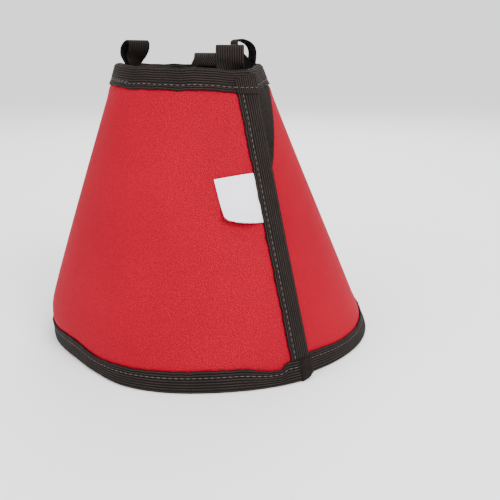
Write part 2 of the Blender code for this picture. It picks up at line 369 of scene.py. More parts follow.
def add_node(
    tree: bpy.types.NodeTree,
    kind: str,
    settings: Optional[dict[str, Any]] = None,
    inputs: Optional[dict[Any, Any]] = None,
) -> bpy.types.Node:
    """Adds a node with its settings, values and links.

    Args:
        tree: the material's or world's node tree.
        kind: the node's type, without its ShaderNode prefix.
        settings: the node's properties by name.
        inputs: socket name or index to a value, or to the output socket that it is linked from.

    Returns:
        The new node.
    """
    node = tree.nodes.new(f"ShaderNode{kind}")
    for name, value in (settings or {}).items():
        setattr(node, name, value)
    for key, value in (inputs or {}).items():
        if isinstance(value, bpy.types.NodeSocket):
            tree.links.new(value, node.inputs[key])
        else:
            node.inputs[key].default_value = value
    return node


def new_material(name: str, hex_colour: str) -> tuple[bpy.types.Material, Callable[..., bpy.types.Node]]:
    """An empty node material with a viewport colour.

    Args:
        name: what the real material is.
        hex_colour: its mean colour.

    Returns:
        The material, and add_node for its tree.
    """
    material = bpy.data.materials.new(name)
    material.use_nodes = True
    material.node_tree.nodes.clear()
    material.diffuse_color = linear(hex_colour)
    return material, partial(add_node, material.node_tree)


class Relief(NamedTuple):
    """A pattern's height as a socket, and how strong and how deep, in metres, its bump is."""

    height: bpy.types.NodeSocket
    strength: float
    depth: float


def close_material(
    add: Callable[..., bpy.types.Node],
    colour: Any,
    gloss: dict[str, Any],
    relief: Optional[Relief] = None,
) -> None:
    """Ends a material with its bump, its shader and the output.

    Args:
        add: add_node for the material's tree.
        colour: the colour, as a value or a socket.
        gloss: the shader's other inputs.
        relief: the pattern that stands out of the surface.
    """
    inputs = {"Base Color": colour, **gloss}
    if relief:
        bump = {"Height": relief.height, "Strength": relief.strength, "Distance": relief.depth}
        inputs["Normal"] = add("Bump", {}, bump).outputs[0]
    shader = add("BsdfPrincipled", {}, inputs)
    add("OutputMaterial", {}, {"Surface": shader.outputs[0]})


def band_scale(pitch: float) -> float:
    """The Wave texture's scale for bands of a pitch in metres: its phase is 20 per unit."""
    return 2 * math.pi / (20 * pitch)


def bands(way: str) -> dict[str, str]:
    """A Wave texture's settings for smooth straight bands."""
    return {"wave_type": "BANDS", "wave_profile": "SIN", "bands_direction": way}


def spread(
    value: bpy.types.NodeSocket, low: float, high: float, to_low: float, to_high: float
) -> dict[str, Any]:
    """The inputs that spread a value's range over another."""
    return {"Value": value, "From Min": low, "From Max": high, "To Min": to_low, "To Max": to_high}


def between(share: bpy.types.NodeSocket, first: str, last: str) -> dict[int, Any]:
    """The inputs that mix two hex colours."""
    return {0: share, 6: linear(first), 7: linear(last)}


COLOUR_MIX = {"data_type": "RGBA"}


@dataclass(frozen=True)
class OxfordNylon:
    """Oxford nylon, woven from flat threads two by two and dyed red.

    The eye sees a fine basket grid whose crowns catch the light, on a saturated, hardly glossy red.
    The real grid is about 1.1 mm. It is drawn at two threads, 1.7 mm, so that it shows.
    """

    name: str = "oxford nylon, red"
    thread: float = 0.00085
    slubs: float = 1250.0
    patches: float = 14.0
    red: str = "#9E0022"
    deep: str = "#660015"
    crown: str = "#DA1029"

    def material(self) -> bpy.types.Material:
        """Builds the material."""
        material, add = new_material(self.name, self.red)
        cloth = add("UVMap", {"uv_map": CLOTH_MAP}).outputs["UV"]
        place = add("TexCoord").outputs["Object"]
        threads = {"Vector": cloth, "Scale": band_scale(self.thread), "Distortion": 0.0}
        warp = add("TexWave", bands("X"), threads).outputs["Fac"]
        weft = add("TexWave", bands("Y"), threads).outputs["Fac"]
        over = add("TexChecker", {}, {"Vector": cloth, "Scale": 1 / self.thread}).outputs["Fac"]
        weave = add("Mix", {"data_type": "FLOAT"}, {0: over, 2: warp, 3: weft}).outputs[0]
        slub = add("TexNoise", {}, {"Vector": cloth, "Scale": self.slubs, "Detail": 1.0}).outputs["Fac"]
        patch = add("TexNoise", {}, {"Vector": place, "Scale": self.patches, "Detail": 2.0}).outputs["Fac"]
        base = add("Mix", COLOUR_MIX, between(weave, self.deep, self.red)).outputs[2]
        glint = add("Math", {"operation": "MULTIPLY"}, {0: weave, 1: slub}).outputs[0]
        lit = add("MapRange", {}, spread(glint, 0.36, 0.62, 0.0, 0.85)).outputs[0]
        crowned = add("Mix", COLOUR_MIX, {0: lit, 6: base, 7: linear(self.crown)}).outputs[2]
        shade = add("MapRange", {}, spread(patch, 0.3, 0.7, 0.94, 1.04)).outputs[0]
        colour = add("HueSaturation", {}, {"Value": shade, "Color": crowned}).outputs[0]
        rough = add("MapRange", {}, spread(slub, 0.3, 0.7, 0.62, 0.78)).outputs[0]
        height = add("Math", {"operation": "MULTIPLY_ADD"}, {0: slub, 1: 0.5, 2: weave}).outputs[0]
        sheen = {"Sheen Weight": 0.02, "Sheen Roughness": 0.45, "Sheen Tint": linear("#FF1010")}
        gloss = {"Roughness": rough, "Specular IOR Level": 0.06, **sheen}
        close_material(add, colour, gloss, Relief(height, 0.55, 0.00016))
        return material


@dataclass(frozen=True)
class RibbedElastic:
    """Knitted elastic tape, black rubber cores covered with dull polyester ribs.

    Each rib runs the length of the tape. Its crown is a worn brown grey, and the groove beside it is
    painted nearly black, as painted shade that falls in the groove. A fine knit crosses it.
    """

    name: str = "ribbed elastic, black"
    rib: float = 0.00166
    knit: float = 0.00075
    fibres: float = 1400.0
    patches: float = 70.0
    crown: str = "#342B27"
    # groove: the near-black between the ribs, painted shade that falls in the grooves
    groove: str = "#040303"

    def material(self) -> bpy.types.Material:
        """Builds the material."""
        material, add = new_material(self.name, self.crown)
        cloth = add("UVMap", {"uv_map": CLOTH_MAP}).outputs["UV"]
        across = {"Vector": cloth, "Scale": band_scale(self.rib), "Distortion": 0.0}
        along = {"Vector": cloth, "Scale": band_scale(self.knit), "Distortion": 2.5}
        ribs = add("TexWave", bands("Y"), across).outputs["Fac"]
        knit = add("TexWave", bands("X"), {**along, "Detail": 1.0, "Detail Scale": 0.6}).outputs["Fac"]
        fibre = add("TexNoise", {}, {"Vector": cloth, "Scale": self.fibres, "Detail": 3.0}).outputs["Fac"]
        wear = add("TexNoise", {}, {"Vector": cloth, "Scale": self.patches, "Detail": 3.0}).outputs["Fac"]
        eased = {"interpolation_type": "SMOOTHSTEP"}
        crown = add("MapRange", eased, {"Value": ribs, "From Min": 0.25, "From Max": 0.95}).outputs[0]
        heather = add("MapRange", {}, spread(fibre, 0.32, 0.7, 0.35, 1.1)).outputs[0]
        worn = add("MapRange", {}, spread(wear, 0.3, 0.7, 0.7, 1.1)).outputs[0]
        mottled = add("Math", {"operation": "MULTIPLY"}, {0: crown, 1: heather}).outputs[0]
        clamped = {"operation": "MULTIPLY", "use_clamp": True}
        share = add("Math", clamped, {0: mottled, 1: worn}).outputs[0]
        # The grooves take the groove colour, painted shade between the ribs; the crowns take the tape's grey
        colour = add("Mix", COLOUR_MIX, between(share, self.groove, self.crown)).outputs[2]
        height = add("Math", {"operation": "MULTIPLY_ADD"}, {0: fibre, 1: 0.8, 2: knit}).outputs[0]
        sheen = {"Sheen Weight": 0.04, "Sheen Roughness": 0.6, "Sheen Tint": linear("#8C7F78")}
        gloss = {"Roughness": 0.82, "Specular IOR Level": 0.12, **sheen}
        close_material(add, colour, gloss, Relief(height, 0.5, 0.00014))
        return material


@dataclass(frozen=True)
class SpunThread:
    """Polyester sewing thread, two plies twisted and slightly glossy; its grey is painted highlight."""

    name: str = "sewing thread, painted highlight grey"
    twist: float = 0.00045
    tones: float = 160.0
    # The thread's greys are painted highlight, lighter than the thread itself; the tone noise between them
    # is random
    mean: str = "#6B6360"
    dark: str = "#352F2C"
    light: str = "#68605C"

    def material(self) -> bpy.types.Material:
        """Builds the material."""
        material, add = new_material(self.name, self.mean)
        place = add("TexCoord").outputs["Object"]
        plies = {"Vector": place, "Scale": band_scale(self.twist), "Distortion": 1.0}
        twist = add("TexWave", bands("DIAGONAL"), plies).outputs["Fac"]
        tone = add("TexNoise", {}, {"Vector": place, "Scale": self.tones, "Detail": 2.0}).outputs["Fac"]
        colour = add("Mix", COLOUR_MIX, between(tone, self.dark, self.light)).outputs[2]
        gloss = {"Roughness": 0.55, "Specular IOR Level": 0.4}
        close_material(add, colour, gloss, Relief(twist, 0.6, 0.00008))
        return material


@dataclass(frozen=True)
class LoopPile:
    """The soft side of hook and loop: a dense pile of tiny nylon loops, black and without gloss."""

    name: str = "loop pile, black"
    loops: float = 900.0
    tufts: float = 380.0
    shade: str = "#060505"
    tip: str = "#211C1A"

    def material(self) -> bpy.types.Material:
        """Builds the material."""
        material, add = new_material(self.name, self.shade)
        place = add("TexCoord").outputs["Object"]
        loops = add("TexVoronoi", {}, {"Vector": place, "Scale": self.loops}).outputs["Distance"]
        tufts = add("TexNoise", {}, {"Vector": place, "Scale": self.tufts, "Detail": 4.0}).outputs["Fac"]
        colour = add("Mix", COLOUR_MIX, between(tufts, self.shade, self.tip)).outputs[2]
        height = add("Math", {"operation": "MULTIPLY_ADD"}, {0: tufts, 1: 1.5, 2: loops}).outputs[0]
        sheen = {"Sheen Weight": 0.08, "Sheen Roughness": 0.7, "Sheen Tint": linear("#6A625E")}
        gloss = {"Roughness": 0.95, "Specular IOR Level": 0.08, **sheen}
        close_material(add, colour, gloss, Relief(height, 0.9, 0.0004))
        return material


@dataclass(frozen=True)
class SatinRibbon:
    """Woven satin ribbon, white with a trace of lilac: long floats give it a soft, one-way sheen."""

    name: str = "satin ribbon, white"
    floats: float = 0.00045
    patches: float = 240.0
    white: str = "#EFEDF6"
    grey: str = "#D9D6E4"

    def material(self) -> bpy.types.Material:
        """Builds the material."""
        material, add = new_material(self.name, self.white)
        cloth = add("UVMap", {"uv_map": CLOTH_MAP}).outputs["UV"]
        rows = {"Vector": cloth, "Scale": band_scale(self.floats), "Distortion": 0.6}
        floats = add("TexWave", bands("X"), rows).outputs["Fac"]
        patch = add("TexNoise", {}, {"Vector": cloth, "Scale": self.patches, "Detail": 3.0}).outputs["Fac"]
        tone = add("Math", {"operation": "MULTIPLY"}, {0: floats, 1: patch}).outputs[0]
        colour = add("Mix", COLOUR_MIX, between(tone, self.white, self.grey)).outputs[2]
        gloss = {"Roughness": 0.46, "Specular IOR Level": 0.45, "Sheen Weight": 0.1}
        close_material(add, colour, gloss, Relief(floats, 0.25, 0.00006))
        return material


class Wardrobe:
    """The collar's materials, each made once."""

    def __init__(self) -> None:
        """Builds every finish."""
        self.nylon = OxfordNylon().material()
        self.elastic = RibbedElastic().material()
        self.thread = SpunThread().material()
        self.pile = LoopPile().material()
        self.satin = SatinRibbon().material()


def run_lengths(points: np.ndarray, axis: int) -> np.ndarray:
    """Lengths along one axis of a grid of points, measured down its middle line."""
    middle = points.take(points.shape[1 - axis] // 2, axis=1 - axis)
    steps = np.linalg.norm(np.diff(middle, axis=0), axis=-1)
    return np.concatenate([[0.0], np.cumsum(steps)])


class Cloth(NamedTuple):
    """A strip of cloth before it gets its walls: a grid of points, out directions and cloth places."""

    face: np.ndarray
    out: np.ndarray
    places: np.ndarray


def lay_cloth(face: np.ndarray, outward: float = 1.0, places: Optional[np.ndarray] = None) -> Cloth:
    """Finds a grid's out directions, and its lengths along and across as places on the cloth.

    Args:
        face: (along, across, 3) points of the cloth's middle.
        outward: -1 where the grid's two directions cross to the inside.
        places: (along, across, 2) places on the flat cloth, where they aren't those lengths.

    Returns:
        The strip.
    """
    out = unit(np.cross(np.gradient(face, axis=0), np.gradient(face, axis=1))) * outward
    if places is None:
        along, across = np.meshgrid(run_lengths(face, 0), run_lengths(face, 1), indexing="ij")
        places = np.stack([along, across], -1)
    return Cloth(face, out, places)


def make_wall(
    name: str,
    strip: Cloth,
    top: np.ndarray,
    bottom: np.ndarray,
    material: bpy.types.Material,
    inner_step: int = 1,
) -> bpy.types.Object:
    """A closed wall of cloth, made from a grid whose rows are rolled round the section.

    Args:
        name: the piece's name.
        strip: the cloth's middle.
        top: (along, across) distances from the middle to the outer face.
        bottom: (along, across) distances from the middle to the inner face, negative.
        material: its finish.
        inner_step: keeps only every so many points of the inner face, which may be smooth.

    Returns:
        The finished piece, at the origin.
    """
    outer = strip.face + strip.out * np.asarray(top)[..., None]
    inner = (strip.face + strip.out * np.asarray(bottom)[..., None])[:, ::-1]
    turned = strip.places[:, ::-1]
    keep = np.unique(np.r_[np.arange(0, inner.shape[1], inner_step), inner.shape[1] - 1])
    ring = np.concatenate([outer, inner[:, keep], outer[:, :1]], axis=1)
    places = np.concatenate([strip.places, turned[:, keep], strip.places[:, :1]], axis=1)
    count, around = ring.shape[:2]

    bpy.ops.object.select_all(action="DESELECT")
    bpy.ops.mesh.primitive_grid_add(x_subdivisions=around - 1, y_subdivisions=count - 1, size=1)
    piece = bpy.context.active_object
    piece.name = piece.data.name = name
    mesh = piece.data
    mesh.vertices.foreach_set("co", ring.astype(np.float32).ravel())
    corners = np.empty(len(mesh.loops), dtype=np.int32)
    mesh.loops.foreach_get("vertex_index", corners)
    layer = mesh.uv_layers.active or mesh.uv_layers.new()
    layer.name = CLOTH_MAP
    layer.uv.foreach_set("vector", places.reshape(-1, 2)[corners].astype(np.float32).ravel())
    mesh.update()

    bpy.ops.object.mode_set(mode="EDIT")
    bpy.ops.mesh.select_all(action="SELECT")
    bpy.ops.mesh.remove_doubles(threshold=1e-7)
    bpy.ops.mesh.select_all(action="DESELECT")
    bpy.ops.mesh.select_non_manifold()
    bpy.ops.mesh.fill_holes(sides=0)
    bpy.ops.mesh.select_all(action="SELECT")
    bpy.ops.mesh.normals_make_consistent(inside=False)
    bpy.ops.object.mode_set(mode="OBJECT")
    bpy.ops.object.shade_smooth_by_angle(angle=math.radians(50))
    mesh.materials.clear()
    mesh.materials.append(material)
    return piece


def settle_piece(piece: bpy.types.Object, stands_for: Sequence[str] = ()) -> None:
    """Puts a finished piece on the collar's body and the nodes that it stands for."""
    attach(piece, BODY)
    for node in stands_for:
        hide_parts(node)
    LOG.info("%s: %d faces", piece.name, len(piece.data.polygons))


@dataclass(frozen=True)
class Ribs:
    """The ribs of an elastic: their pitch, how deep their grooves are, and the tape's thin edges."""

    pitch: float = 0.00166
    groove: float = 0.00034
    selvedge: float = 0.0007
    flatness: float = 0.6
    edge_share: float = 0.35

    def carve(self, across: np.ndarray, wall: float) -> np.ndarray:
        """Distances from a tape's middle to its ribbed face.

        Args:
            across: lengths across the tape, from 0 to its width.
            wall: the tape's wall at a rib's crown.

        Returns:
            The distance at each length.
        """
        width = across.max()
        crown = (0.5 - 0.5 * np.cos(2 * math.pi * across / self.pitch)) ** self.flatness
        edge = smooth(np.minimum(across, width - across) / self.selvedge)
        return (wall / 2 - self.groove * (1 - crown)) * mix(self.edge_share, 1.0, edge)


RIBS = Ribs()
RIB_POINTS = 6

# Stitches lie a little below a tape's crowns, on lines whose points are this far apart
THREAD_LIFT = SIZES.outside - 0.00035
SEWN_LINE = 0.001


def fold_path(face: float, sizes: CollarSizes) -> np.ndarray:
    """A tape folded over an edge, from the outer leaf's free edge to the inner leaf's.

    Args:
        face: width of a leaf.
        sizes: the collar's sizes.

    Returns:
        (count, 2) depths onto the panel and lifts off its middle, evenly spaced.
    """
    below = sizes.fit + sizes.tape_wall / 2
    rise, tuck = sizes.tape_lift, 0.0013
    corners = [(face, rise)]
    for angle in np.linspace(90, -90, 25):
        around = math.radians(angle)
        corners.append((tuck - (tuck + below) * math.cos(around), rise * math.sin(around)))
    corners.append((face, -rise))
    corners = np.array(corners)
    run = np.concatenate([[0.0], np.cumsum(np.linalg.norm(np.diff(corners, axis=0), axis=1))])
    count = int(round(run[-1] / RIBS.pitch * RIB_POINTS)) + 1
    even = np.linspace(0, run[-1], count)
    return np.stack([np.interp(even, run, corners[:, 0]), np.interp(even, run, corners[:, 1])], 1)


def seam_pinch(depth: np.ndarray, seam: float) -> np.ndarray:
    """How far a row of stitches pulls a leaf down: a shallow dimple along the seam."""
    dimple, run = 0.00032, 0.0016
    return dimple * np.exp(-(((depth - seam) / run) ** 2))


def make_tape(
    name: str,
    path: np.ndarray,
    face: float,
    seam: float,
    along: np.ndarray,
    place: Callable[[np.ndarray, np.ndarray, np.ndarray], np.ndarray],
    outward: float,
    material: bpy.types.Material,
) -> bpy.types.Object:
    """A ribbed tape folded over an edge.

    Args:
        name: the piece's name.
        path: the fold's (depth, lift) points.
        face: width of a leaf.
        seam: the depth of the row of stitches.
        along: the sections' places along the edge.
        place: maps (along, depth, lift) to points.
        outward: -1 where the path crosses the sections to the inside.
        material: its finish.

    Returns:
        The finished piece.
    """
    sections, depth = np.meshgrid(along, path[:, 0], indexing="ij")
    lift = np.broadcast_to(path[:, 1], depth.shape)
    leaf = np.clip(depth / face, 0, 1)
    pull = seam_pinch(depth, seam) * np.sign(lift) * (depth > 0)
    points = place(sections, depth, lift - pull)
    run = run_lengths(points, 0)[:, None]
    calm, sway = 0.55, 0.8
    wave = ripple(run, PUCKERS) * smooth((leaf - calm) / (1 - calm))
    points = place(sections, depth + wave * sway, lift - pull + np.abs(wave) * np.sign(lift))
    strip = lay_cloth(points, outward)
    carved = RIBS.carve(strip.places[0, :, 1], SIZES.tape_wall)
    top = np.broadcast_to(carved, points.shape[:2])
    bottom = np.full(points.shape[:2], -SIZES.tape_wall / 2)
    return make_wall(name, strip, top, bottom, material, inner_step=RIB_POINTS)


def even_turns(first: float, last: float, pitch: float, z: float) -> np.ndarray:
    """Turns from first to last, a pitch apart along the panel at a height."""
    coarse = np.linspace(first, last, 721)
    points = FORM.spot(coarse, z)
    run = np.concatenate([[0.0], np.cumsum(np.linalg.norm(np.diff(points, axis=0), axis=1))])
    count = int(round(run[-1] / pitch)) + 1
    return np.interp(np.linspace(0, run[-1], count), run, coarse)


@dataclass
class StitchRow:
    """A row of lockstitch: short lengths of thread that dip into the tape at both ends."""

    name: str
    thread: bpy.types.Material
    length: float = 0.0027
    gap: float = 0.0013
    thick: float = 0.00024

    def sew(self, points: np.ndarray, out: np.ndarray) -> bpy.types.Object:
        """Sews stitches along a line.

        Args:
            points: (count, 3) closely spaced points on the cloth's face.
            out: (count, 3) directions out of it.

        Returns:
            The row, as one piece.
        """
        run = np.concatenate([[0.0], np.cumsum(np.linalg.norm(np.diff(points, axis=0), axis=1))])

        def at(values: np.ndarray, where: np.ndarray) -> np.ndarray:
            return np.stack([np.interp(where, run, values[:, i]) for i in range(3)], 1)

        pitch = self.length + self.gap
        starts = np.arange(self.gap / 2, run[-1] - self.length, pitch)
        heads, tails = at(points, starts), at(points, starts + self.length)
        outs = unit(at(out, starts + self.length / 2))
        stitch = self._stitch()
        copies = []
        for head, tail, up in zip(heads, tails, outs):
            run_way = Vector(tail - head).normalized()
            side = Vector(up).cross(run_way).normalized()
            turned = Matrix((run_way, side, run_way.cross(side))).transposed().to_4x4()
            copy = stitch.copy()
            copy.data = stitch.data.copy()
            copy.data.transform(Matrix.Translation(Vector((head + tail) / 2)) @ turned)
            bpy.context.collection.objects.link(copy)
            copies.append(copy)
        bpy.data.objects.remove(stitch, do_unlink=True)
        bpy.ops.object.select_all(action="DESELECT")
        for copy in copies:
            copy.select_set(True)
        bpy.context.view_layer.objects.active = copies[0]
        bpy.ops.object.join()
        row = bpy.context.active_object
        row.name = row.data.name = self.name
        row.data.materials.clear()
        row.data.materials.append(self.thread)
        return row

    def _stitch(self) -> bpy.types.Object:
        """One stitch at the origin, lying along X: a slim drop of thread."""
        bpy.ops.object.select_all(action="DESELECT")
        bpy.ops.mesh.primitive_uv_sphere_add(segments=7, ring_count=6, radius=1.0)
        stitch = bpy.context.active_object
        stitch.data.transform(Matrix.Rotation(math.pi / 2, 4, "Y"))
        stitch.data.transform(Matrix.Diagonal((self.length / 2, self.thick, self.thick, 1)))
        bpy.ops.object.shade_smooth()
        return stitch


def sew_on(
    name: str,
    thread: bpy.types.Material,
    turns: np.ndarray,
    z: np.ndarray,
    points: np.ndarray,
    side: float = 1.0,
) -> bpy.types.Object:
    """Sews a row of stitches and puts it on the collar.

    Args:
        name: the row's name.
        thread: its finish.
        turns: the turns of its points.
        z: their heights.
        points: the points.
        side: -1 on the inner leaf.

    Returns:
        The row.
    """
    row = StitchRow(name, thread).sew(points, FORM.normal(turns, z) * side)
    settle_piece(row)
    return row


@dataclass
class ConePanel:
    """The fan of foam-backed nylon, puffed a little between the tapes that pinch its edges."""

    wardrobe: Wardrobe
    sections: int = 330
    rows: int = 84
    puff: float = 0.00045
    puff_run: float = 0.009
    puff_front: float = 0.6
    pinched: float = 0.62
    opens_before: float = 0.003
    opens_over: float = 0.005
    edge_round: float = 0.0016
    crowding: float = 0.012

    def half_wall(self, turn: np.ndarray, z: np.ndarray) -> np.ndarray:
        """Half of the panel's wall, thinner where a tape pinches it and rounded at its very edge."""
        sizes = SIZES
        from_hem = z - sizes.base - FORM.hem_cut(turn)
        from_neck = FORM.top(turn) - FORM.neck_cut(turn) - z
        ends = np.minimum(turn - sizes.start_turn, sizes.free_turn - turn) * FORM.pace(turn, z)
        inside = np.minimum(
            np.minimum(from_hem - sizes.hem_face * FORM.plan(turn).face, from_neck - sizes.neck_face),
            ends - sizes.edge_face,
        )
        edge = np.minimum(np.minimum(from_hem, from_neck), ends)
        open_share = smooth((inside + self.opens_before) / self.opens_over)
        wall = sizes.half_wall * mix(self.pinched, 1.0, open_share)
        inwards = np.clip(inside / self.puff_run, 0, 1) ** self.puff_front
        swell = self.puff * np.sin(math.pi * inwards)
        round_edge = np.sqrt(1 - (1 - np.clip(edge / self.edge_round, 0.02, 1)) ** 2)
        return wall * round_edge + swell * (1 - FORM.lapped(turn))

    def flat_places(self, turn: np.ndarray, z: np.ndarray) -> np.ndarray:
        """Places on the flat cut, a sector of a ring, so that the weave runs straight on it."""
        near, far, sector = 0.166, 0.385, math.radians(129.5)
        share = (turn - SIZES.start_turn) / (SIZES.free_turn - SIZES.start_turn)
        reach = mix(far, near, (z - SIZES.base) / (SIZES.top - SIZES.base))
        angle = (share - 0.5) * sector
        return np.stack([0.5 + reach * np.sin(angle), reach * np.cos(angle)], -1)

    def build(self) -> bpy.types.Object:
        """Makes the panel."""
        last = np.linspace(SIZES.free_turn - 3, SIZES.free_turn, 14)
        first = np.linspace(SIZES.start_turn, SIZES.start_turn + 2, 8)
        middle = np.linspace(first[-1], last[0], self.sections)[1:-1]
        turns = np.concatenate([first, middle, last])
        share = np.linspace(0, 1, self.rows)
        share = share - self.crowding * np.sin(2 * math.pi * share) / math.pi
        low = SIZES.base + FORM.hem_cut(turns)
        high = FORM.top(turns) - FORM.neck_cut(turns)
        turn = np.repeat(turns[:, None], self.rows, axis=1)
        z = mix(low[:, None], high[:, None], share[None, :])
        strip = lay_cloth(FORM.spot(turn, z), 1.0, self.flat_places(turn, z))
        half = self.half_wall(turn, z)
        panel = make_wall("cone_cloth", strip, half, -half, self.wardrobe.nylon)
        settle_piece(panel, ["cone_panel"])
        return panel


@dataclass
class RimTape:
    """A tape folded over a rim of the cone, with a row of stitches through both leaves.

    Edge is the height of the panel's edge at that rim, face is the width of a leaf, and outward is
    what make_tape takes.
    """

    wardrobe: Wardrobe
    rim: str
    edge: float
    face: float
    seam: float
    pitch: float
    outward: float

    def heights(self, turn: np.ndarray, depth: np.ndarray) -> np.ndarray:
        """Heights of points at a depth from the rim."""
        raise NotImplementedError

    def place(self, turn: np.ndarray, depth: np.ndarray, lift: np.ndarray) -> np.ndarray:
        """Points of the tape."""
        return FORM.spot(turn, self.heights(turn, depth), lift)

    def sew_row(
        self, name: str, first: float, last: float, depth: float, side: float = 1.0
    ) -> bpy.types.Object:
        """Sews a row between two turns at a depth: side is -1 on the inner leaf."""
        fine = even_turns(first, last, SEWN_LINE, self.edge)
        z = self.heights(fine, np.full_like(fine, depth))
        line = FORM.spot(fine, z, side * THREAD_LIFT)
        return sew_on(f"{self.rim}_{name}", self.wardrobe.thread, fine, z, line, side)

    def build(self) -> list[bpy.types.Object]:
        """Makes the tape and its stitches."""
        past = (SIZES.fit + SIZES.tape_wall) / float(FORM.pace(SIZES.free_turn, self.edge))
        first, last = SIZES.start_turn - past, SIZES.free_turn + past
        tape = make_tape(
            f"{self.rim}_tape",
            fold_path(self.face, SIZES),
            self.face,
            self.seam,
            even_turns(first, last, self.pitch, self.edge),
            self.place,
            self.outward,
            self.wardrobe.elastic,
        )
        settle_piece(tape, [f"{self.rim}_binding"])
        outer = self.sew_row("stitches", first, last, self.seam)
        inner = self.sew_row("inner_stitches", first, last, self.seam, -1.0)
        return [tape, outer, inner]


@dataclass
class HemTape(RimTape):
    """The tape on the wide rim.

    It narrows towards the front, and steps back to its width where the front edge's tape begins.
    """

    rim: str = "hem"
    edge: float = SIZES.base
    face: float = SIZES.hem_face
    seam: float = 0.0088
    pitch: float = 0.0016
    outward: float = -1.0
    narrowed: float = 0.26
    narrows_from: float = 370.0
    narrows_over: float = 13.0
    steps_from: float = 384.3
    steps_over: float = 2.8

    def heights(self, turn: np.ndarray, depth: np.ndarray) -> np.ndarray:
        """Heights of points at a depth from the hem's edge."""
        cut = FORM.hem_cut(turn) * (1 - np.clip(depth / self.face, 0, 1))
        narrowing = smooth((turn - self.narrows_from) / self.narrows_over)
        step_back = smooth((turn - self.steps_from) / self.steps_over)
        face = FORM.plan(turn).face * (1 - self.narrowed * narrowing * (1 - step_back))
        return self.edge + cut + np.where(depth > 0, depth * face, depth)


# The back tacks of the neck's seam: their first and last turns, and how far they miss the seam
BACK_TACKS = (("left", 290.0, 316.0, -0.0011), ("front", 358.0, 371.0, 0.0010))


@dataclass
class NeckTape(RimTape):
    """The tape on the neck's rim, which waves a little up and down, and the back tacks on its seam."""

    rim: str = "neck"
    edge: float = SIZES.top
    face: float = SIZES.neck_face
    seam: float = 0.0108
    pitch: float = 0.0013
    outward: float = 1.0

    def heights(self, turn: np.ndarray, depth: np.ndarray) -> np.ndarray:
        """Heights of points at a depth from the neck's edge."""
        cut = FORM.neck_cut(turn) * (1 - np.clip(depth / self.face, 0, 1))
        angle = np.radians(turn)
        wave = sum(height * np.sin(count * angle + phase) for height, count, phase in NECK_WAVES)
        return FORM.top(turn) - depth - cut + wave

    def build(self) -> list[bpy.types.Object]:
        """Makes the tape, its stitches and the back tacks."""
        return super().build() + [
            self.sew_row(f"back_tack_{name}", first, last, self.seam + missed)
            for name, first, last, missed in BACK_TACKS
        ]


@dataclass
class EdgeTape:
    """The tape folded over one end of the fan, tucked under the hem's and the neck's tapes."""

    wardrobe: Wardrobe
    name: str
    node: str
    end_turn: float
    side: float
    pitch: float = 0.0014
    seam: float = 0.0112
    tuck: float = 0.0016
    sunk: float = 0.42

    def place(self, share: np.ndarray, depth: np.ndarray, lift: np.ndarray) -> np.ndarray:
        """Points of the tape at shares of its height."""
        at_turn = FORM.turn_back(self.end_turn, SIZES.top, self.side * depth)
        low = FORM.hem_tip(at_turn) - self.tuck
        high = FORM.top(at_turn) - SIZES.neck_face + self.tuck
        z = mix(low, high, share)
        sink = smooth(1 - np.minimum(z - low, high - z) / (2 * self.tuck))
        turn = FORM.turn_back(self.end_turn, z, self.side * depth)
        return FORM.spot(turn, z, lift * (1 - self.sunk * sink))

    def build(self) -> list[bpy.types.Object]:
        """Makes the tape and its stitches."""
        path = fold_path(SIZES.edge_face, SIZES)
        count = int((SIZES.height - SIZES.neck_face - SIZES.hem_face) / self.pitch)
        share = np.linspace(0, 1, count)
        tape = make_tape(
            self.name, path, SIZES.edge_face, self.seam, share, self.place, -self.side, self.wardrobe.elastic
        )
        settle_piece(tape, [self.node])
        pieces = [tape]
        fine = np.linspace(0.01, 0.99, 200)
        for word, way in (("stitches", 1), ("inner_stitches", -1)):
            line = self.place(fine, np.full_like(fine, self.seam), way * THREAD_LIFT)
            turn = FORM.turn_back(self.end_turn, line[:, 2], self.side * self.seam)
            name = f"{self.name}_{word}"
            pieces.append(sew_on(name, self.wardrobe.thread, turn, line[:, 2], line, way))
        return pieces


@dataclass
class PileStrip:
    """The soft closure strip on the hidden end, which shows as a wedge beside the free edge.

    Its upper end follows the neck's tape over some degrees past the free edge, with a small clear.
    """

    wardrobe: Wardrobe
    low_width: float = 0.0180
    high_width: float = 0.0330
    shows: float = 0.0290
    hides: float = 0.0500
    upper_from: float = 10.0
    upper_over: float = 25.0
    middle: float = 20.0
    clear: float = 0.0004
    fuzz: float = 0.00012

    def build(self) -> bpy.types.Object:
        """Makes the strip."""
        sizes = SIZES
        under, lift = sizes.free_turn - 360, sizes.tape_lift + sizes.fit
        low = FORM.hem_tip(sizes.free_turn) + 2 * sizes.fit + 2 * sizes.tape_wall
        share, across = np.meshgrid(np.linspace(0, 1, 150), np.linspace(0, 1, 30), indexing="ij")
        upper = under + self.upper_from + self.upper_over * (1 - across)
        high = FORM.top(upper) - sizes.neck_face - self.clear
        z = mix(low, high, share)
        past = mix(-self.hides, self.shows, share)
        width = mix(self.low_width, self.high_width, share)
        turn = under - (width * across - past) / FORM.pace(under + self.middle, z)
        rng = np.random.default_rng(7)
        fuzz = rng.uniform(0.3, 1.0, share.shape) * self.fuzz
        strip = lay_cloth(FORM.spot(turn, z, lift), 1.0)
        half = np.full(share.shape, sizes.tape_wall / 2)
        piece = make_wall("pile_strip", strip, half - fuzz, -half, self.wardrobe.pile)
        settle_piece(piece, ["loop_tape"])
        return piece


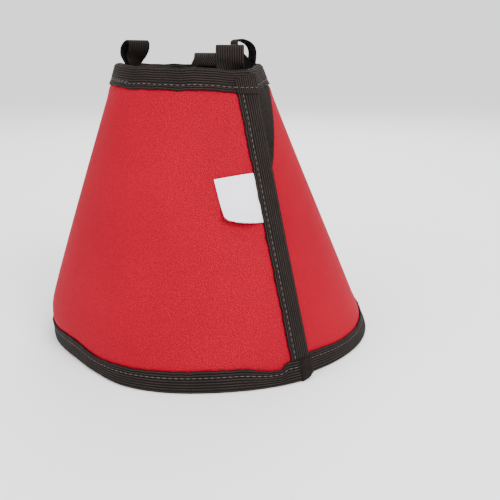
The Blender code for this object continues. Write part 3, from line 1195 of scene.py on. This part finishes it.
@dataclass
class SideLabel:
    """A ribbon folded double and caught in the front edge's tape, left bare.

    At its fold its upper edge sags and its lower edge rises and bows. Its lower corner is rounded
    and tapered, stands up in a curl, and gapes. Its other end is tucked into the tape.
    """

    wardrobe: Wardrobe
    reach: float = 0.0270
    height: float = 0.0320
    low: float = 0.1035
    leaf: float = 0.00034
    points: int = 36
    bulge: float = 0.012
    sag: float = 0.0030
    rise: float = 0.0024
    bow: float = 0.0007
    corner: float = 0.0022
    taper: float = 0.0013
    tucked: float = 0.0008
    curl: float = 0.0035
    gape: float = 0.0008
    wave: float = 0.0003

    def build(self) -> bpy.types.Object:
        """Makes the label, as one ribbon from the seam to its fold and back beneath itself."""
        leaf, half_turn = np.linspace(0, 1, self.points), np.linspace(0, math.pi, 9)[1:-1]
        across = np.concatenate([leaf, 1 + self.bulge * np.sin(half_turn), leaf[::-1]])
        level = np.concatenate([np.ones_like(leaf), 0.5 + 0.5 * np.cos(half_turn), np.zeros_like(leaf)])
        up, over = np.meshgrid(np.linspace(0, 1, 44), across, indexing="ij")
        level = np.broadcast_to(level, up.shape)
        drop = self.sag * (over**1.4) * up - self.rise * (over**1.5) * (1 - up)
        drop = drop + self.bow * np.sin(math.pi * over) * (1 - up)
        z = self.low + self.height * up - drop
        corner = self.corner * np.clip(1 - up / 0.12, 0, 1) ** 2 * smooth((over - 0.7) / 0.3)
        corner = corner + self.taper * over * (1 - up)
        depth = SIZES.edge_face - self.tucked + self.reach * over - corner
        turn = FORM.turn_back(SIZES.free_turn, z, depth)
        curled = self.curl * (1 - smooth(up / 0.45)) * smooth(over / 0.6)
        sewn_apart, lies_apart = 0.00030, 0.00062
        gape = mix(sewn_apart, lies_apart, smooth(over / 0.12))
        gape = gape + self.gape * (1 - smooth(up / 0.3)) * smooth((over - 0.05) / 0.2)
        wave = self.wave * np.sin(4.1 * over + 2.2 * up)
        sewn_at, lies_at, lower_leaf = 0.0001, 0.0006, 0.72
        base = SIZES.half_wall + mix(sewn_at, lies_at, smooth((over - 0.02) / 0.12))
        lift = base + (curled + wave * smooth(over / 0.3)) * mix(lower_leaf, 1.0, level) + gape * level
        strip = lay_cloth(FORM.spot(turn, z, lift), -1.0)
        half = np.full(up.shape, self.leaf / 2)
        piece = make_wall("bare_label", strip, half, -half, self.wardrobe.satin)
        settle_piece(piece, ["side_label"])
        return piece


@dataclass
class CornerFolds:
    """The free end's corners, where the tape is turned under: ribbed at the neck, plain at the foot.

    At the neck the fold's top runs from a little proud of the tape down a slant, and its foot
    overhangs the tape's free edge.
    """

    wardrobe: Wardrobe
    wall: float = 0.0007
    wrap: float = 0.0016
    clear: float = 0.00012
    seam: float = 0.0108
    seam_drop: float = 0.0006
    curl_from: float = 0.0009
    slant: float = 0.0062
    proud: float = 0.0006
    overhang: float = 0.0012
    foot_width: float = 0.0088
    foot_lift: float = 0.0006
    foot_overlap: float = 0.0004
    crumple: float = 0.00022

    def _lift(self, depth: np.ndarray) -> np.ndarray:
        """Lifts of a fold that lies on the tape and curls round the free end."""
        curl = np.clip((self.curl_from - depth) / (self.curl_from + self.wrap), 0, 1)
        return (SIZES.outside + self.wall / 2 + self.clear) * np.sqrt(1 - curl**2)

    def neck(self) -> list[bpy.types.Object]:
        """The front edge's tape run up over the neck's, with its top folded down at a slant."""
        sizes, ribs = SIZES, 9
        reach = np.linspace(sizes.edge_face + 0.0004, -self.wrap, ribs * RIB_POINTS + 1)
        share, depth = np.meshgrid(np.linspace(0, 1, 26), reach, indexing="ij")
        turn = FORM.turn_back(sizes.free_turn, sizes.top, depth)
        top = FORM.top(turn) - FORM.neck_cut(turn)
        slant = mix(-self.proud, self.slant, np.clip(depth / sizes.edge_face, 0, 1))
        low = FORM.top(turn) - sizes.neck_face - self.overhang
        z = mix(low, top - slant, share)
        turn = FORM.turn_back(sizes.free_turn, z, depth)
        bent, bends_from, bends_over = 0.55, 0.0014, 0.0022
        over = 1 - bent * smooth((z - top + bends_from) / bends_over)
        strip = lay_cloth(FORM.spot(turn, z, self._lift(depth) * over), -1.0)
        carved = np.broadcast_to(RIBS.carve(strip.places[0, :, 1], self.wall), z.shape)
        under = np.full(z.shape, -self.wall / 2)
        fold = make_wall("neck_corner_fold", strip, carved, under, self.wardrobe.elastic)
        settle_piece(fold)

        line = np.linspace(sizes.edge_face + 0.001, 0.0, 60)
        turns = FORM.turn_back(sizes.free_turn, sizes.top, line)
        heights = FORM.top(turns) - self.seam - self.seam_drop
        points = FORM.spot(turns, heights, sizes.outside + self.wall)
        return [fold, sew_on("neck_corner_stitches", self.wardrobe.thread, turns, heights, points)]

    def foot(self) -> list[bpy.types.Object]:
        """The hem's tape turned under at the free end, as a plain dark fold."""
        sizes = SIZES
        reach = np.linspace(self.foot_width, -self.wrap, 40)
        share, depth = np.meshgrid(np.linspace(0, 1, 34), reach, indexing="ij")
        turn = FORM.turn_back(sizes.free_turn, sizes.base, depth)
        low = self.foot_lift + FORM.hem_cut(turn)
        z = mix(low, FORM.hem_tip(turn) + self.foot_overlap, share)
        turn = FORM.turn_back(sizes.free_turn, z, depth)
        rounds_from, rounds_over = 0.0030, 0.0034
        tuck = np.sqrt(1 - np.clip((rounds_from - (z - low)) / rounds_over, 0, 1) ** 2)
        crumple = self.crumple * np.sin(900 * depth + 260 * z) * smooth(depth / 0.004)
        strip = lay_cloth(FORM.spot(turn, z, self._lift(depth) * tuck + crumple), -1.0)
        half = np.full(z.shape, self.wall / 2)
        fold = make_wall("hem_corner_fold", strip, half, -half, self.wardrobe.pile)
        settle_piece(fold)
        return [fold]


class LoopRow(NamedTuple):
    """One collar loop: its turn, the way its width faces, its height and belly, and its lean."""

    name: str
    turn: float
    facing: float
    height: float
    belly: float
    lean: float


LOOPS = (
    LoopRow("front", 25, 0, 0.88, 0.62, 4),
    LoopRow("right", 99, 106, 1.04, 0.74, 32),
    LoopRow("back", 166, 180, 0.76, 0.58, 88),
    LoopRow("left", 252, 228, 0.91, 0.62, 24),
)


@dataclass
class CollarLoops:
    """The four straps of ribbed elastic that stand inside the neck for the pet's own collar."""

    wardrobe: Wardrobe
    width: float = 0.0200
    tail: float = 0.0120
    wall: float = 0.0013
    seat_gap: float = 0.0008
    twist_by: float = 0.4
    ribs: int = 12
    steps: int = 64

    def side_view(self, row: LoopRow) -> tuple[np.ndarray, np.ndarray]:
        """A strap's side view from the rim: how far inwards and how far up, evenly spaced."""
        gap = (self.wall + SIZES.fit) / 2
        height, belly = row.height * self.width, row.belly * self.width / 2
        share = np.linspace(0, 1, 121)[1:-1]
        around = math.pi * (share - 0.5)
        lowest, narrow, full_at = 0.02, 0.25, 0.75
        up = height * mix(lowest, 1.0, np.cos(around))
        out = belly * np.sin(around) * mix(narrow, 1.0, smooth(up / height / full_at))
        bend = math.radians(row.lean) * up / height
        inward = np.concatenate([[-gap] * 3, out * np.cos(bend) + up * np.sin(bend), [gap] * 3])
        tail = np.array([-self.tail, -self.tail / 2, 0])
        upward = np.concatenate([tail, up * np.cos(bend) - out * np.sin(bend), tail[::-1]])
        run = np.concatenate([[0.0], np.cumsum(np.hypot(np.diff(inward), np.diff(upward)))])
        even = np.linspace(0, run[-1], self.steps)
        return np.interp(even, run, inward), np.interp(even, run, upward)

    def place(self, row: LoopRow) -> np.ndarray:
        """The strap's middle, as a grid of points along and across it."""
        inward, upward = self.side_view(row)
        rim = float(FORM.top(row.turn)) + SIZES.fit + SIZES.tape_wall + self.wall
        seat = SIZES.outside + self.seat_gap + self.wall + SIZES.fit / 2
        foot = FORM.spot(row.turn, rim, -seat)
        tangent = unit(FORM.skin(row.turn + 0.5, rim) - FORM.skin(row.turn - 0.5, rim))
        facing = polar(row.facing + 90.0, 1.0)
        across = np.linspace(-0.5, 0.5, self.ribs * RIB_POINTS + 1) * self.width
        grid = np.empty((len(inward), len(across), 3))
        world_up = np.array([0.0, 0.0, 1.0])
        for i, (inn, up) in enumerate(zip(inward, upward)):
            if up <= 0:
                turns = FORM.turn_back(row.turn, rim + up, -across)
                grid[i] = FORM.spot(turns, rim + up, -seat) + np.cross(world_up, tangent) * inn
                continue
            twisted = smooth(up / (row.height * self.width) / self.twist_by)
            way = unit(mix(tangent, facing, twisted))
            grid[i] = foot + across[:, None] * way + np.cross(world_up, way) * inn + world_up * up
        return grid

    def build(self) -> list[bpy.types.Object]:
        """Makes the four straps."""
        pieces = []
        ribs = Ribs(pitch=self.width / self.ribs, groove=0.00030, selvedge=0.0006)
        for row in LOOPS:
            strip = lay_cloth(self.place(row), 1.0)
            across = strip.places[0, :, 1]
            carved = np.broadcast_to(ribs.carve(across, self.wall), strip.face.shape[:2])
            strap = make_wall(f"{row.name}_strap", strip, carved, -carved, self.wardrobe.elastic)
            settle_piece(strap, [f"collar_loop_{row.name}"])
            pieces.append(strap)
        return pieces


@dataclass
class Studio:
    """The pale floor, soft light and camera."""

    surround: float = 1.5
    looks_down: float = 17.1

    def build(self) -> None:
        """Makes the stage."""
        self._floor()
        self._world()
        self._light("key", (0.9, -1.1, 1.25), 34.0, 0.9)
        self._light("fill", (-1.2, -0.9, 0.8), 12.0, 1.2)
        self._light("back", (0.1, 1.3, 1.2), 16.0, 1.0)
        self._camera()

    def _floor(self) -> None:
        """A wide pale floor, on which the collar stands."""
        bpy.ops.object.select_all(action="DESELECT")
        bpy.ops.mesh.primitive_plane_add(size=12.0, location=(0, 0, 0))
        floor = bpy.context.active_object
        floor.name = "floor"
        material, add = new_material("studio paper, white", "#F4F4F5")
        close_material(add, linear("#FDFDFD"), {"Roughness": 0.9})
        floor.data.materials.append(material)

    def _world(self) -> None:
        """A white surround."""
        world = bpy.data.worlds.new("studio")
        world.use_nodes = True
        background = world.node_tree.nodes["Background"]
        background.inputs["Color"].default_value = (1, 1, 1, 1)
        background.inputs["Strength"].default_value = self.surround
        bpy.context.scene.world = world

    def _light(self, name: str, where: tuple[float, float, float], power: float, size: float) -> None:
        """A square soft light that faces the collar."""
        lamp = bpy.data.lights.new(name, "AREA")
        lamp.energy, lamp.size = power, size
        holder = bpy.data.objects.new(name, lamp)
        bpy.context.scene.collection.objects.link(holder)
        holder.location = where
        aim = Vector((0, 0, 0.1)) - Vector(where)
        holder.rotation_euler = aim.to_track_quat("-Z", "Y").to_euler()

    def _camera(self) -> None:
        """The photograph's camera, a little above the neck and half a metre in front."""
        lens = bpy.data.cameras.new("camera")
        lens.lens, lens.sensor_width = 46.0, 36.0
        holder = bpy.data.objects.new("camera", lens)
        bpy.context.scene.collection.objects.link(holder)
        holder.location = (0.0324, -0.5038, 0.216)
        holder.rotation_euler = (math.radians(90 - self.looks_down), 0, 0)
        bpy.context.scene.camera = holder


def dress_hook_strip(wardrobe: Wardrobe) -> None:
    """Gives the hidden hook strip, whose solid is right as it is, the closure's finish."""
    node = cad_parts["hook_tape"]
    node.data.materials.clear()
    node.data.materials.append(wardrobe.pile)


def main() -> None:
    """Dresses the collar, one sub-assembly after the other."""
    logging.basicConfig(level=logging.INFO, format="%(name)s %(message)s")
    wardrobe = Wardrobe()
    Studio().build()
    panel = ConePanel(wardrobe).build()
    trims = HemTape(wardrobe).build() + NeckTape(wardrobe).build()
    ends = (
        EdgeTape(wardrobe, "front_edge_tape", "front_edge_binding", SIZES.free_turn, 1.0),
        EdgeTape(wardrobe, "under_edge_tape", "under_edge_binding", SIZES.start_turn, -1.0),
    )
    for end in ends:
        trims += end.build()
    corners = CornerFolds(wardrobe)
    trims += corners.neck() + corners.foot()
    pile = PileStrip(wardrobe).build()
    label = SideLabel(wardrobe).build()
    CollarLoops(wardrobe).build()
    dress_hook_strip(wardrobe)


if __name__ == "__main__":
    main()
